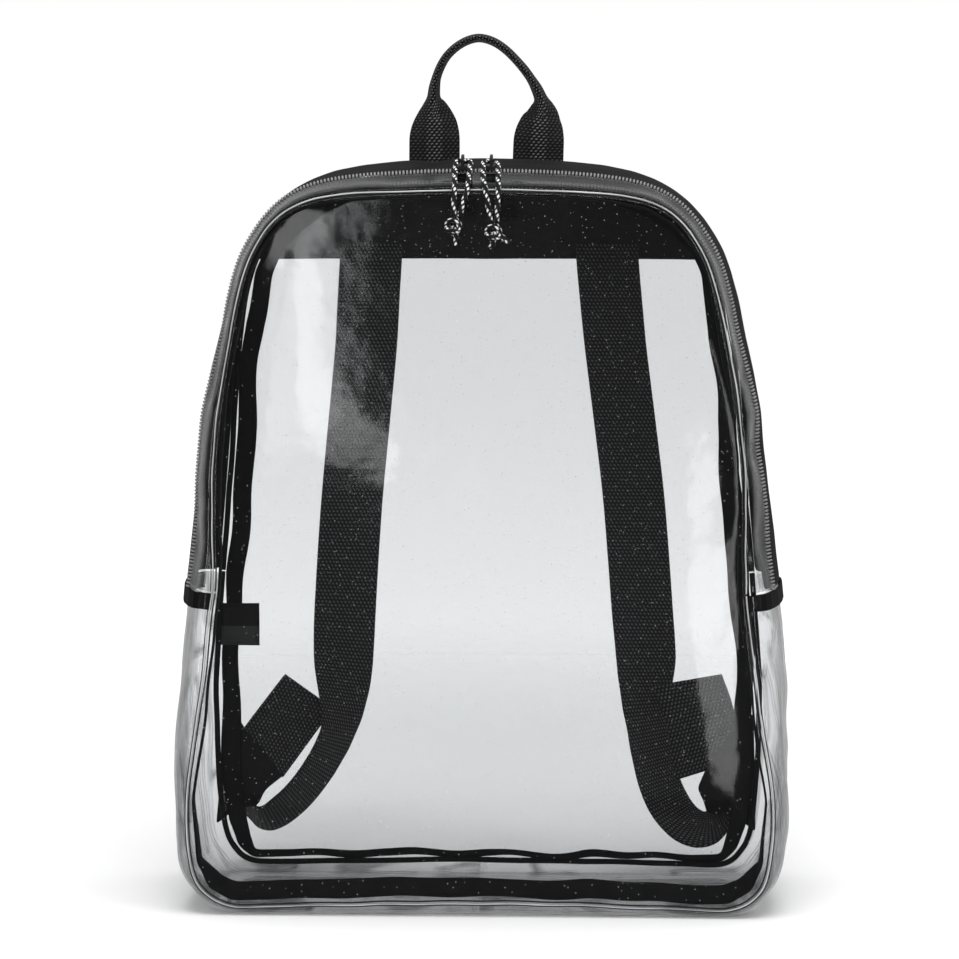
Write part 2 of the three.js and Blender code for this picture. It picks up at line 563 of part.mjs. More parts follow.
function slider(x) {
  const plate = new THREE.Shape();
  plate.moveTo(-SLIDER_LONG / 2, -SLIDER_WIDE / 3);
  plate.lineTo(-SLIDER_LONG / 4, -SLIDER_WIDE / 2);
  plate.lineTo(SLIDER_LONG / 4, -SLIDER_WIDE / 2);
  plate.lineTo(SLIDER_LONG / 2, -SLIDER_WIDE / 3);
  plate.lineTo(SLIDER_LONG / 2, SLIDER_WIDE / 3);
  plate.lineTo(SLIDER_LONG / 4, SLIDER_WIDE / 2);
  plate.lineTo(-SLIDER_LONG / 4, SLIDER_WIDE / 2);
  plate.lineTo(-SLIDER_LONG / 2, SLIDER_WIDE / 3);
  plate.closePath();
  const base = new THREE.ExtrudeGeometry(plate, { depth: SLIDER_THICK, bevelEnabled: false });
  const arch = new THREE.Shape();
  const reach = SLIDER_WIDE / 2;
  arch.moveTo(-reach, 0);
  arch.lineTo(-reach, BRIDGE_HIGH * 0.7);
  arch.lineTo(-reach * 0.6, BRIDGE_HIGH);
  arch.lineTo(reach * 0.6, BRIDGE_HIGH);
  arch.lineTo(reach, BRIDGE_HIGH * 0.7);
  arch.lineTo(reach, 0);
  arch.lineTo(reach - BRIDGE_THICK, 0);
  arch.lineTo(reach - BRIDGE_THICK, BRIDGE_HIGH * 0.66);
  arch.lineTo(reach * 0.5, BRIDGE_HIGH - BRIDGE_THICK);
  arch.lineTo(-reach * 0.5, BRIDGE_HIGH - BRIDGE_THICK);
  arch.lineTo(-reach + BRIDGE_THICK, BRIDGE_HIGH * 0.66);
  arch.lineTo(-reach + BRIDGE_THICK, 0);
  arch.closePath();
  const bridge = new THREE.ExtrudeGeometry(arch, { depth: BRIDGE_WIDE, bevelEnabled: false });
  bridge.translate(0, 0, -BRIDGE_WIDE / 2);
  bridge.rotateX(Math.PI / 2);
  bridge.rotateZ(Math.PI / 2);
  bridge.translate(0, 0, SLIDER_THICK - BRIDGE_SUNK);
  const body = joined([base, bridge]);
  const way = (COIL_START + COIL_END) / 2;
  const place = TOP_ROW - (x / HALF) / along("front", TOP_ROW - 1);
  const up = facing(place, way);
  const right = new THREE.Vector3(1, 0, 0).addScaledVector(up, -up.x).normalize();
  const back = up.clone().cross(right);
  const spot = lean(gusset(place, way)).addScaledVector(up, COIL_PROUD + GAP);
  const turn = new THREE.Matrix4().makeBasis(right, back, up).setPosition(spot);
  body.applyMatrix4(turn);
  return body;
}

// A knot: two crossing turns of the cord and its cut tails
function knot({ middle, tails }) {
  const turns = [[0.3, 0.5, 0], [1.2, 0.2, 0.9]].map(([x, y, z]) => {
    const turn = new THREE.TorusGeometry(KNOT_TURN, CORD_THICK / 2, 6, 10);
    turn.applyMatrix4(new THREE.Matrix4().makeRotationFromEuler(new THREE.Euler(Math.PI / 2 + x, y, z)));
    turn.translate(...middle);
    return turn;
  });
  const ends = tails.map((tip) => {
    const bend = middle.map((value, k) => (value + tip[k]) / 2 + (k === 0 ? 0.6 : 0));
    return cord([middle, bend, tip], CORD_THICK, CORD_SIDES, 2);
  });
  return joined([...turns, ...ends]);
}

// The small plain tag sewn into the back seam
const TAG = { across: -0.87, up: 0.351, wide: 20, tall: 22, thick: 0.8, clear: 2.2 };
function tag() {
  const geometry = new THREE.BoxGeometry(TAG.wide, TAG.thick, TAG.tall);
  geometry.translate(TAG.across * HALF, DEPTH / 2 - TAG.clear, TAG.up * TALL);
  return geometry;
}

const group = new THREE.Group();
const LOOKS = {
  clear: { color: 0xe9ecee, roughness: 0.08, metalness: 0 },
  cloth: { color: 0x17181a, roughness: 0.9, metalness: 0 },
  webbing: { color: 0x1c1d1f, roughness: 0.85, metalness: 0 },
  metal: { color: 0x26272a, roughness: 0.4, metalness: 0.6 },
};
function add(name, look, geometry) {
  const mesh = new THREE.Mesh(geometry, new THREE.MeshStandardMaterial(LOOKS[look]));
  mesh.name = name;
  group.add(mesh);
}

const WAYS_STRIP = [0, 0.02, 0.06, TAPE_START, STRIP_END];
const WAYS_TAPE = [TAPE_START, STRIP_END, BAND_START, TAPE_END];
const WAYS_BAND = [BAND_START, TAPE_END, 0.4, 0.55, 0.75, 0.92, 1];
const WAYS_JOIN = [0.02, 0.06, 0.12, 0.25, 0.4, 0.6, 0.75, 0.88, 0.96];
const WAYS_LOWER = [0, 0.02, 0.06, 0.12, 0.25, 0.4, 0.6, 0.75, 0.88, 0.96, 1];
const JOIN_GAP = 0.02; // between upper and lower wall, in rows of OUTLINE
const UPPER = [JOIN_ROW + JOIN_GAP, ROWS - JOIN_ROW - JOIN_GAP];
const UPPER_STEPS = 40;
const LOWER_STEPS = 32;

add("front_panel", "clear", panel(0, SEAM_GAP, FRONT_RINGS));
add("back_panel", "clear", panel(1, SEAM_GAP, BACK_RINGS));
add("front_zip_strip", "clear", strip(...UPPER, UPPER_STEPS, WAYS_STRIP, 0, VINYL));
add("rear_zip_band", "cloth", strip(...UPPER, UPPER_STEPS, WAYS_BAND, 0, FABRIC));
add("zipper_tape", "cloth", strip(...UPPER, UPPER_STEPS, WAYS_TAPE, -FABRIC - 2 * GAP, TAPE_THICK));
add("zipper_coil", "webbing", strip(...UPPER, UPPER_STEPS, [COIL_START, COIL_END], COIL_PROUD, COIL_THICK));
add("lower_gusset", "clear", strip(-JOIN_ROW, JOIN_ROW, LOWER_STEPS, WAYS_LOWER, 0, VINYL));
add("front_binding", "cloth", binding(0, "stand"));
add("back_binding", "cloth", binding(1, "rest"));
add("yoke", "cloth", yoke());
add("handle", "webbing", handle());
add("strap_left", "webbing", ribbon(STRAP_LEFT, STRAP_WIDE));
add("strap_right", "webbing", ribbon(STRAP_RIGHT, STRAP_WIDE));
add("anchor_web_left", "webbing", ribbon(ANCHOR_LEFT, STRAP_WIDE));
add("anchor_web_right", "webbing", ribbon(ANCHOR_RIGHT, ANCHOR_WIDE));
add("strap_tab_left", "cloth", tab(TAB_LEFT));
add("strap_tab_right", "cloth", tab(TAB_RIGHT));
add("zip_slider_left", "metal", slider(-7.5));
add("zip_slider_right", "metal", slider(6));
add("zip_cord_left", "webbing", cord(CORD_LEFT, CORD_THICK, CORD_SIDES, CORD_STEPS));
add("zip_cord_right", "webbing", cord(CORD_RIGHT, CORD_THICK, CORD_SIDES, CORD_STEPS));
add("zip_knot_left", "webbing", knot(KNOT_LEFT));
add("zip_knot_right", "webbing", knot(KNOT_RIGHT));
const JOIN = [JOIN_ROW - JOIN_HIGH, JOIN_ROW - JOIN_GAP / 2];
add("join_band_right", "cloth", strip(...JOIN, 1, WAYS_JOIN, GAP + FABRIC, FABRIC));
add("join_band_left", "cloth", strip(ROWS - JOIN[1], ROWS - JOIN[0], 1, WAYS_JOIN, GAP + FABRIC, FABRIC));
add("side_tag", "cloth", tag());

// Set the middle of the bag's foot at the origin; the loose cord pulls don't count
const box = new THREE.Box3();
for (const mesh of group.children) {
  if (!/^zip_(cord|knot)/.test(mesh.name)) box.expandByObject(mesh);
}
const shift = box.getCenter(new THREE.Vector3()).setZ(box.min.z).negate();
for (const mesh of group.children) mesh.geometry.translate(shift.x, shift.y, shift.z);

export default group;
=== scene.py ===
# %% [markdown]
# # A clear backpack
# The bag is a clear vinyl body edged with black cloth, with a zipped top, a webbing handle and
# two hanging shoulder straps. The packed CAD model holds its true size and place. This script
# loads that model, keeps it where it is, and dresses it with finer pieces and finishes.

import math

import bmesh
import bpy
from mathutils import Matrix, Vector, kdtree, noise


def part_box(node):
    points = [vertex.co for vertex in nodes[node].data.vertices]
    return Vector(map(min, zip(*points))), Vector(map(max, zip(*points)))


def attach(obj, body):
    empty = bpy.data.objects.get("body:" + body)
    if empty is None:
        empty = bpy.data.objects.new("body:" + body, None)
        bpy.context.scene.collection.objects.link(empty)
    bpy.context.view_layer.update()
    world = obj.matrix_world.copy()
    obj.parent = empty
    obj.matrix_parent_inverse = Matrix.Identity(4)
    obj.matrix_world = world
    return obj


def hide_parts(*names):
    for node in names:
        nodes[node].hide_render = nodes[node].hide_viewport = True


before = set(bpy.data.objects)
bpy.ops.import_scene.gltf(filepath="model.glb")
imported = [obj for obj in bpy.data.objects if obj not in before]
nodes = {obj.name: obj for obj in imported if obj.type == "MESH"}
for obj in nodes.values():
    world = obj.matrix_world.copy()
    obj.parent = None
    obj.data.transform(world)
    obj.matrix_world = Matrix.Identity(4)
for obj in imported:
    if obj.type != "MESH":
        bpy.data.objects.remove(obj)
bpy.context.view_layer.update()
MM = 0.001

# %% [markdown]
# ## Camera
# A long lens from about two metres, a little right of the bag's middle and above it, is how
# such a bag is photographed for a catalogue. The far viewpoint keeps the back of the bag
# nearly as large as its front.

# %% Camera
VIEW_FROM = Vector((76.7, -2058.9, 415.3)) * MM
VIEW_TO = Vector((-1.9, -13.6, 211)) * MM
SENSOR, LENS = 36, 153.9  # millimetres
camera = bpy.data.objects.new("camera", bpy.data.cameras.new("camera"))
bpy.context.scene.collection.objects.link(camera)
camera.location = VIEW_FROM
camera.rotation_mode = "QUATERNION"
camera.rotation_quaternion = (VIEW_TO - VIEW_FROM).to_track_quat("-Z", "Y")
camera.data.sensor_width = SENSOR
camera.data.lens = LENS
bpy.context.scene.camera = camera
bpy.context.scene.view_settings.view_transform = "Standard"
print("camera at", [round(v, 3) for v in camera.location])

# %% [markdown]
# ## Shader maths
# A finish is a small graph of nodes. Written out node by node it is long and hard to read, so
# a wire stands for one output socket, and sums of wires add the Math nodes by themselves.


# %% Wires and finishes
class Wire:
    """An output socket that takes part in arithmetic."""

    def __init__(self, finish, socket):
        self.finish, self.socket = finish, socket

    def maths(self, operation, *others):
        inputs = dict(enumerate((self, *others)))
        return self.finish.node("ShaderNodeMath", inputs, operation=operation)

    def __add__(self, other):
        return self.maths("ADD", other)

    def __sub__(self, other):
        return self.maths("SUBTRACT", other)

    def __rsub__(self, other):
        return self.finish.node("ShaderNodeMath", {0: float(other), 1: self}, operation="SUBTRACT")

    def __mul__(self, other):
        return self.maths("MULTIPLY", other)

    def __pow__(self, other):
        return self.maths("POWER", other)

    def __truediv__(self, other):
        return self.maths("DIVIDE", other)

    __radd__, __rmul__ = __add__, __mul__


class Finish:
    """A material, or a room, under construction."""

    def __init__(self, name, made=None):
        self.made = made or bpy.data.materials.new(name)
        self.made.use_nodes = True
        self.tree = self.made.node_tree
        self.tree.nodes.clear()

    def node(self, kind, inputs=None, out=0, **settings):
        """Any node: its type, the values or wires of its sockets, and its settings."""
        made = self.tree.nodes.new(kind)
        for key, value in settings.items():
            setattr(made, key, value)
        for key, value in (inputs or {}).items():
            if isinstance(value, Wire):
                self.tree.links.new(value.socket, made.inputs[key])
            else:
                made.inputs[key].default_value = value
        return None if out is None else Wire(self, made.outputs[out])

    def coordinates(self):
        return self.node("ShaderNodeTexCoord", out="Object")

    def split(self, vector):
        parts = self.node("ShaderNodeSeparateXYZ", {0: vector}).socket.node.outputs
        return [Wire(self, part) for part in parts]

    def bump(self, height, distance, strength=1.0):
        inputs = {"Height": height, "Distance": distance, "Strength": strength}
        return self.node("ShaderNodeBump", inputs)

    def blend(self, factor, dark, light):
        inputs = {0: factor, 6: (*dark, 1), 7: (*light, 1)}
        return self.node("ShaderNodeMix", inputs, out=2, data_type="RGBA")

    def ramp(self, value, start, end, low=0.0, high=1.0):
        """A soft rise from low to high while the value goes from start to end."""
        inputs = {"Value": value, "From Min": start, "From Max": end, "To Min": low, "To Max": high}
        return self.node("ShaderNodeMapRange", inputs, interpolation_type="SMOOTHSTEP")

    def principled(self, **sockets):
        """The usual surface shader. Its sockets' spaces are written as low dashes."""
        inputs = {key.replace("_", " "): value for key, value in sockets.items()}
        return self.node("ShaderNodeBsdfPrincipled", inputs)

    def output(self, shader, kind="ShaderNodeOutputMaterial"):
        self.node(kind, {0: shader}, out=None)
        print("finish:", self.made.name, len(self.tree.nodes), "nodes")
        return self.made


print("a finish has:", ", ".join(part for part in vars(Finish) if part[0] != "_"))


# %% [markdown]
# ## Clear vinyl
# Vinyl sheet lets nearly all light straight through, mirrors a little of the room, more so at
# a shallow angle, and looks dark where it is seen edge on. A little of that is the light running
# a long way through it; the rest is painted shade, a near-black surface mixed in at a shallow
# angle that stands for the dark room which bent vinyl shows at its edges. Bent glass would
# show this too, but it is slow and noisy to render. A thin sheet hardly bends what is seen
# through it, so a see-through shader with a mirror on top does the same.


# %% Clear vinyl finish
VINYL_IOR = 1.5
SEEN_THROUGH = (0.935, 0.94, 0.943, 1)
FINE_SHARE = 0.06  # of the bumps
CREASE_SHARPNESS = 24
DUST_PER_METRE, DUST_SIZE = 260, 0.07


def clear_vinyl(name, wobble, seed, edge_power, painted_edge_shade, painted_crease_shade=0.0, dust=0.0):
    finish = Finish(name)
    place = finish.coordinates()
    moved = finish.node("ShaderNodeMapping", {0: place, "Location": (seed, 0, -seed)})
    broad = finish.node("ShaderNodeTexNoise", {"Vector": moved, "Scale": 6, "Detail": 0})
    fine = finish.node("ShaderNodeTexNoise", {"Vector": moved, "Scale": 45, "Detail": 2})
    bump = finish.bump(broad * (1 - FINE_SHARE) + fine * FINE_SHARE, wobble)
    facing = finish.node("ShaderNodeLayerWeight", {"Blend": 0.5}, out="Facing")
    see = finish.node("ShaderNodeBsdfTransparent", {0: SEEN_THROUGH})
    # deep: a near-black surface, painted shade mixed in where the sheet is seen edge on and along the
    # painted fold lines
    deep = finish.principled(Base_Color=(0.03, 0.032, 0.034, 1), Roughness=0.25, IOR=VINYL_IOR)
    dark = facing**edge_power * painted_edge_shade
    if painted_crease_shade:
        run = finish.node("ShaderNodeAttribute", out="Vector", attribute_name="run")
        look = {"Vector": run, "Scale": 1, "Detail": 1, "Distortion": 0.6}
        creases = finish.node("ShaderNodeTexNoise", look)
        # painted shade: dark lines along the noise's ridges stand for the dark edges of folds
        ridge = 1 - (creases - 0.5).maths("ABSOLUTE") * CREASE_SHARPNESS
        dark = (dark + ridge.maths("MAXIMUM", 0.0) * painted_crease_shade).maths("MINIMUM", 1.0)
    body = finish.node("ShaderNodeMixShader", {0: dark, 1: see, 2: deep})
    if dust:
        look = {"Vector": place, "Scale": DUST_PER_METRE}
        near = finish.node("ShaderNodeTexVoronoi", look, out="Distance")
        speck = finish.node("ShaderNodeBsdfDiffuse", {"Color": (0.8, 0.8, 0.8, 1)})
        mask = near.maths("LESS_THAN", DUST_SIZE) * dust
        body = finish.node("ShaderNodeMixShader", {0: mask, 1: body, 2: speck})
    look = {"Color": (1, 1, 1, 1), "Roughness": 0.07, "Normal": bump}
    mirror = finish.node("ShaderNodeBsdfAnisotropic", look)
    inside = finish.node("ShaderNodeNewGeometry", out="Backfacing")
    bends = VINYL_IOR - inside * (VINYL_IOR - 1 / VINYL_IOR)
    shine = finish.node("ShaderNodeFresnel", {"IOR": bends, "Normal": bump})
    return finish.output(finish.node("ShaderNodeMixShader", {0: shine, 1: body, 2: mirror}))


VINYL = clear_vinyl("clear_vinyl", 0.004, 0.31, 6, 0.9, dust=0.45)
VINYL_SIDE = clear_vinyl("clear_vinyl_side", 0.003, 0.77, 12, 0.9, painted_crease_shade=0.35)

# %% [markdown]
# ## Black cloth
# The edging, the yoke and the wall behind the zipper are thin woven polyester: almost black,
# dull, with a fine grain of crossing threads. A product of two sine waves makes the crossings.


# %% Black cloth finish
def sine(wire, length):
    return (wire * (2 * math.pi / length)).maths("SINE")


def black_cloth(name, dark, light, thread):
    finish = Finish(name)
    x, y, z = finish.split(finish.coordinates())
    grain = sine(x, thread) * sine(z, thread) + sine(y, thread) * sine(z, thread)
    look = {"Vector": finish.coordinates(), "Scale": 60, "Detail": 3}
    level = grain * 0.2 + finish.node("ShaderNodeTexNoise", look) * 0.7
    shader = finish.principled(
        Base_Color=finish.blend(level, dark, light),
        Roughness=0.7,
        Specular_IOR_Level=0.12,
        Normal=finish.bump(level, 0.2 * MM, 0.5),
    )
    return finish.output(shader)


THREAD_APART = 0.9 * MM
CLOTH = black_cloth("black_cloth", (0.003, 0.003, 0.0033), (0.014, 0.014, 0.015), THREAD_APART)

# %% [markdown]
# The small tag is a loop of ribbon. Its lower half is painted lighter, a painted reflection, so
# its finish changes colour at a set height.


# %% Tag finish
def tag_with_painted_reflection(name, reflection_high):
    finish = Finish(name)
    place = finish.coordinates()
    # painted reflection: the tag's lower half gets the lighter colour
    painted_reflection_half = finish.split(place)[2].maths("LESS_THAN", reflection_high)
    cloudy = finish.node("ShaderNodeTexNoise", {"Vector": place, "Scale": 300})
    shader = finish.principled(
        Base_Color=finish.blend(painted_reflection_half, (0.006, 0.006, 0.0065), (0.03, 0.03, 0.031)),
        Roughness=0.7,
        Normal=finish.bump(cloudy, 0.2 * MM, 0.5),
    )
    return finish.output(shader)


# the height below which the tag carries its painted reflection
TAG_REFLECTION_HIGH = 129 * MM
TAG_CLOTH = tag_with_painted_reflection("tag_cloth_painted_reflection", TAG_REFLECTION_HIGH)

# %% [markdown]
# ## Webbing
# Strap webbing is woven in rows of short raised floats, each row set half a step aside. Each
# float is painted lighter at its crown than the black web, a painted highlight. The pattern has
# to follow the strap through its bends, so each webbing piece carries its own coordinates:
# across the web, along the web, and which face.


# %% Webbing finish
def webbing(name, across, along, dark, light, middle=None):
    """Floats of one length across and along the web, each painted lighter at its crown as a painted
    highlight. On a folded web a painted highlight lights only the middle.
    """
    finish = Finish(name)
    read = finish.node("ShaderNodeAttribute", out="Vector", attribute_name="weave")
    u, v, _ = finish.split(read)
    aside = (v / along).maths("FLOOR").maths("MODULO", 2.0) * 0.5
    du = (u / across + aside).maths("FRACT") - 0.5
    dv = (v / along).maths("FRACT") - 0.5
    lean = du + dv * 0.35
    float_high = (1 - (lean * lean * 7 + dv * dv * 5)).maths("MAXIMUM", 0.0)
    # painted highlight: each float lighter at its crown
    painted_float_highlight = float_high**2
    # painted highlight: the middle of the handle lighter, its edges darker
    if middle:
        painted_middle_light = 1 - (u.maths("ABSOLUTE") / middle) ** 6.0
        painted_float_highlight = painted_float_highlight * (painted_middle_light.maths("MAXIMUM", 0.0) * 0.7 + 0.3)
    worn = finish.node("ShaderNodeTexNoise", {"Vector": read, "Scale": 300, "Detail": 2})
    shader = finish.principled(
        Base_Color=finish.blend(painted_float_highlight * (worn * 1.2 + 0.3), dark, light),
        Roughness=0.6,
        Specular_IOR_Level=0.2,
        Normal=finish.bump(float_high, 0.4 * MM, 0.8),
    )
    return finish.output(shader)


BLACK = (0.008, 0.008, 0.0085)
STRAP_FLOAT, HANDLE_FLOAT = (2.0 * MM, 1.9 * MM), (2.4 * MM, 1.5 * MM)
# how far to either side of the middle the handle's painted highlight reaches
HANDLE_PAINTED_LIGHT = 4.4 * MM  # to either side of the middle
STRAP_WEB = webbing("strap_webbing", *STRAP_FLOAT, BLACK, (0.16, 0.16, 0.165))
HANDLE_WEB = webbing("handle_webbing", *HANDLE_FLOAT, BLACK, (0.2, 0.2, 0.205), HANDLE_PAINTED_LIGHT)

# %% [markdown]
# ## Small finishes
# The zipper's coil is black nylon, painted mid grey as a painted highlight on its turns; the
# sliders are painted metal, and the pulls are black cord with white flecks woven in.


# %% Plain finishes
def plain(name, colour, rough, grain=0.0, metal=0.0):
    finish = Finish(name)
    look = {"Vector": finish.coordinates(), "Scale": 400, "Detail": 3}
    cloud = finish.node("ShaderNodeTexNoise", look)
    shader = finish.principled(
        Base_Color=finish.blend(cloud, [c * 0.7 for c in colour], [c * 1.3 for c in colour]),
        Roughness=cloud * 0.2 + (rough - 0.1),
        Metallic=metal,
        Normal=finish.bump(cloud, 0.1 * MM, grain),
    )
    return finish.output(shader)


# black nylon painted mid grey: a painted highlight on the coil's turns
COIL_PAINTED_LIGHT = plain("coil_nylon_painted_light", (0.24, 0.24, 0.245), 0.25, 0.3)
PAINT = plain("slider_paint", (0.03, 0.03, 0.031), 0.35, 0.2, 0.3)
THREAD = plain("black_thread", (0.02, 0.02, 0.021), 0.6, 0.4)

# %% [markdown]
# The cord is braided, so its pattern winds round it. The cord's own coordinates hold the
# place on the circle and the way along, and the white flecks are where two windings cross.

# %% Cord finish
FLECK_WIND, CROSS_WIND, BRAID_WIND = 8.4 * MM, 3.1 * MM, 1.3 * MM  # along, for a whole step


def flecked_cord(name):
    finish = Finish(name)
    read = finish.node("ShaderNodeAttribute", out="Vector", attribute_name="weave")
    across, up, along = finish.split(read)
    turn = up.maths("ARCTAN2", across) / (2 * math.pi)
    strand = (turn * 2 + along / FLECK_WIND).maths("FRACT")
    cross = (turn * 3 - along / CROSS_WIND).maths("FRACT")
    fleck = strand.maths("GREATER_THAN", 0.62) * cross.maths("GREATER_THAN", 0.45)
    braid = (turn * 6 + along / BRAID_WIND).maths("FRACT") - 0.5
    shader = finish.principled(
        Base_Color=finish.blend(fleck, (0.008, 0.008, 0.009), (0.9, 0.9, 0.9)),
        Roughness=0.6,
        Normal=finish.bump(1 - braid * braid * 4, 0.3 * MM, 0.8),
    )
    return finish.output(shader)


CORD_FINISH = flecked_cord("flecked_cord")

# %% [markdown]
# ## Making a piece
# Every piece ends the same way: its mesh becomes an object at the origin, gets its finish and
# stands for the CAD nodes that it dresses. A CAD node's mesh is loose triangles, so a copy of
# it is merged and its triangles are joined to quads before it is shaped further.


# %% Helpers for pieces
SAME_PLACE = 1e-6
SHARPEST_JOIN, SHARPEST_QUAD = math.radians(50), math.radians(80)


def merged(node, quads=True):
    """A merged copy of a CAD node's mesh."""
    bm = bmesh.new()
    bm.from_mesh(nodes[node].data)
    bmesh.ops.remove_doubles(bm, verts=bm.verts, dist=SAME_PLACE)
    bm.verts.index_update()
    if quads:
        limits = {"angle_face_threshold": SHARPEST_JOIN, "angle_shape_threshold": SHARPEST_QUAD}
        bmesh.ops.join_triangles(bm, faces=bm.faces, **limits)
    return bm


def piece(bm, name, material, stands_for=(), smooth=True, subdivide=0):
    """Makes the finished object, on the bag's one body."""
    mesh = bpy.data.meshes.new(name)
    for face in bm.faces:
        face.smooth = smooth
    bm.to_mesh(mesh)
    bm.free()
    made = bpy.data.objects.new(name, mesh)
    bpy.context.scene.collection.objects.link(made)
    mesh.materials.append(material)
    if subdivide:
        round_off = made.modifiers.new("rounder", "SUBSURF")
        round_off.levels = round_off.render_levels = subdivide
    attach(made, "root")
    if stands_for:
        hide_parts(*stands_for)
    print(f"{name}: {len(mesh.polygons)} faces")
    return made


def finer(bm, longest, rounds=4):
    """Cuts the edges until none is much longer than that."""
    for _ in range(rounds):
        long_edges = [e for e in bm.edges if e.calc_length() > longest * 1.5]
        if not long_edges:
            break
        bmesh.ops.subdivide_edges(bm, edges=long_edges, cuts=1, use_grid_fill=True, smooth=0)


print("triangles to dress:", sum(len(node.data.polygons) for node in nodes.values()))

# %% [markdown]
# ## Zip pulls
# Each pull is one soft cord, threaded through the slider and tied in a knot below it. Its
# route is a few points on a smooth curve, the same as in the CAD model.

# %% Cord routes
# From the CAD source's origin to the packed part's, in millimetres, as the routes are too
CAD_SHIFT = Vector((-1.8546, -13.6285, 0))
CORD_THICK = 2.6 * MM
CORD_STEPS = 64
CORD_LEFT = [
    (-10, -64.8, 345.1), (-10, -64.2, 352.5), (-9.7, -62, 358), (-9.8, -57.5, 361.9),
    (-10, -51, 365.5), (-10, -45.5, 368.2), (-10, -43, 369.5), (-9.9, -40.8, 370.5),
    (-9, -38.5, 371), (-7.4, -37.6, 371.1), (-5.4, -37.6, 371.1), (-3.8, -38.5, 371),
    (-2.9, -40.8, 370.5), (-2.8, -43, 369.5), (-2.9, -45.5, 368.2), (-3, -51, 365.5),
    (-3.2, -57.5, 361.9), (-3.6, -62, 357.6), (-5.2, -64.2, 352.5), (-7.2, -64.8, 345.1),
]  # fmt: skip
CORD_RIGHT = [
    (7.8, -64.8, 342.1), (6.3, -64.2, 351.5), (5.2, -62, 358), (4.2, -57.5, 361.9),
    (3.6, -51, 365.5), (3.5, -45.5, 368.2), (3.5, -43, 369.5), (3.6, -40.8, 370.5),
    (4.5, -38.5, 371), (6.1, -37.6, 371.1), (8.1, -37.6, 371.1), (9.7, -38.5, 371),
    (10.6, -40.8, 370.5), (10.7, -43, 369.5), (10.8, -45.5, 368.2), (11, -51, 365.5),
    (11.3, -57.5, 361.9), (11.4, -62, 357.6), (11.2, -64.2, 351.5), (10.6, -64.8, 342.1),
]  # fmt: skip


def between(points, steps):
    """The points with more between them, on a smooth curve that passes through each."""
    fine = []
    for i in range(len(points) - 1):
        a, b = points[max(i - 1, 0)], points[i]
        c, d = points[i + 1], points[min(i + 2, len(points) - 1)]
        for k in range(steps):
            t = k / steps
            bend = (2 * a - 5 * b + 4 * c - d) * t**2
            twist = (3 * b - 3 * c + d - a) * t**3
            fine.append(0.5 * (2 * b + (c - a) * t + bend + twist))
    return [*fine, points[-1]]


def smooth_line(points, count):
    """Places at even steps along a smooth curve through the points, and its length."""
    fine = between(points, 12)
    gone = [0.0]
    for a, b in zip(fine, fine[1:]):
        gone.append(gone[-1] + (b - a).length)
    even, k = [], 0
    for i in range(count + 1):
        want = gone[-1] * i / count
        while k < len(gone) - 2 and gone[k + 1] < want:
            k += 1
        share = (want - gone[k]) / max(gone[k + 1] - gone[k], 1e-12)
        even.append(fine[k].lerp(fine[k + 1], min(max(share, 0), 1)))
    return even, gone[-1]


def in_frame(point):
    """A place given in millimetres of the CAD source."""
    return (Vector(point) + CAD_SHIFT) * MM


ROUTES = {}
for side, points in (("left", CORD_LEFT), ("right", CORD_RIGHT)):
    ROUTES[side] = smooth_line([in_frame(p) for p in points], CORD_STEPS)
    print(f"{side} pull: {ROUTES[side][1] / MM:.1f} mm of cord")

# %% [markdown]
# A cord is a ring of vertices drawn along its route. Each step extrudes the last ring's edges
# and moves the new ring to its place. Webs are made the same way later, from wider rings.


# %% Rings drawn along a route
def draw_out(bm, sections):
    """A closed form through the cross-sections, each a ring of (place, weave coordinates)."""
    weaves = bm.verts.layers.float_vector
    layer = weaves.get("weave") or weaves.new("weave")
    ring = first = bmesh.ops.create_circle(bm, segments=len(sections[0]), radius=1)["verts"]
    mine = set(ring)
    edges = [e for e in bm.edges if set(e.verts) <= mine]
    for i, section in enumerate(sections):
        if i:
            grown = bmesh.ops.extrude_edge_only(bm, edges=edges)["geom"]
            fresh = {g for g in grown if isinstance(g, bmesh.types.BMVert)}
            new_edges = [g for g in grown if isinstance(g, bmesh.types.BMEdge)]
            edges = [e for e in new_edges if set(e.verts) <= fresh]
            across = [[e.other_vert(v) for e in v.link_edges] for v in ring]
            ring = [next(v for v in group if v in fresh) for group in across]
        for v, (place, weave) in zip(ring, section):
            v.co, v[layer] = place, weave
    for end in (first, ring):
        bmesh.ops.contextual_create(bm, geom=list(end))


def rope(bm, path, thick, sides):
    """Adds a round cord along the path."""
    along, sections = 0.0, []
    normal = (path[1] - path[0]).orthogonal().normalized()
    for i, point in enumerate(path):
        run = (path[min(i + 1, len(path) - 1)] - path[max(i - 1, 0)]).normalized()
        normal = (normal - run * normal.dot(run)).normalized()
        other = run.cross(normal)
        along += (point - path[i - 1]).length if i else 0
        section = []
        for k in range(sides):
            turn = 2 * math.pi * k / sides
            c, s = math.cos(turn), math.sin(turn)
            section.append((point + (normal * c + other * s) * (thick / 2), Vector((c, s, along))))
        sections.append(section)
    draw_out(bm, sections)


trial = bmesh.new()
rope(trial, ROUTES["left"][0], CORD_THICK, 12)
print("one pull:", len(trial.verts), "vertices")
trial.free()

# %% [markdown]
# The knots are the same cord wound two and a half times round itself, with its cut ends
# hanging out.

# %% Cords and knots
KNOTS = {
    "left": ((-10.4, -64.4, 340.6), [(-9.2, -64.2, 331)]),
    "right": ((9, -64.6, 337.6), [(7.6, -64.2, 329.6), (16.4, -64.4, 332.6)]),
}


KNOT_STEPS, KNOT_TURNS, KNOT_WIDE = 56, 2.6, 3.0


